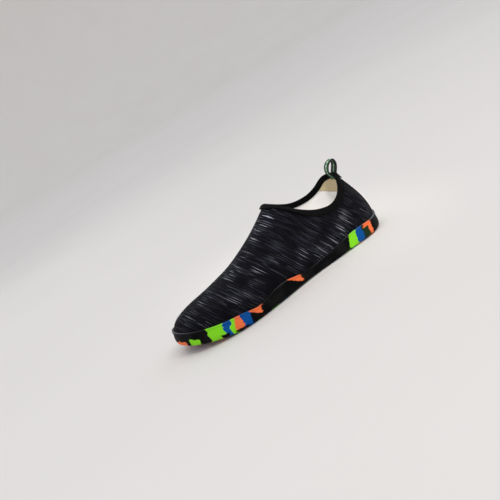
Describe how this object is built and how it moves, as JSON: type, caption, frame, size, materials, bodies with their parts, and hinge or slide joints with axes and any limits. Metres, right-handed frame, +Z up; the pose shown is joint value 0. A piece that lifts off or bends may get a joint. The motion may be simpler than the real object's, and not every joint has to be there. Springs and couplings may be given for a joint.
{
  "type": "water shoe",
  "caption": "Slip-on water shoe for the left foot: hollow knit upper in a cupped rubber sole, with an elastic collar and a webbing pull loop at the heel.",
  "frame": {"origin": "middle of the shoe's bounding box in plan, on the floor that the tread stands on", "axes": "+X toward the toe, +Y toward the outer side of the left foot, +Z up"},
  "size_m": [0.269, 0.1008, 0.0916],
  "materials": {
    "sole_rubber": "satin black with coloured camouflage patches",
    "insole_foam": "matte",
    "upper_knit": "black stretch knit with pale streaks",
    "binding_elastic": "matte",
    "strip_tape": "matte",
    "loop_webbing": "woven, pale green middle stripe"
  },
  "bodies": {
    "root": {"outsole": "sole_rubber", "insole": "insole_foam", "upper": "upper_knit", "collar_binding": "binding_elastic", "heel_strip": "strip_tape", "pull_loop": "loop_webbing"}
  },
  "joints": []
}
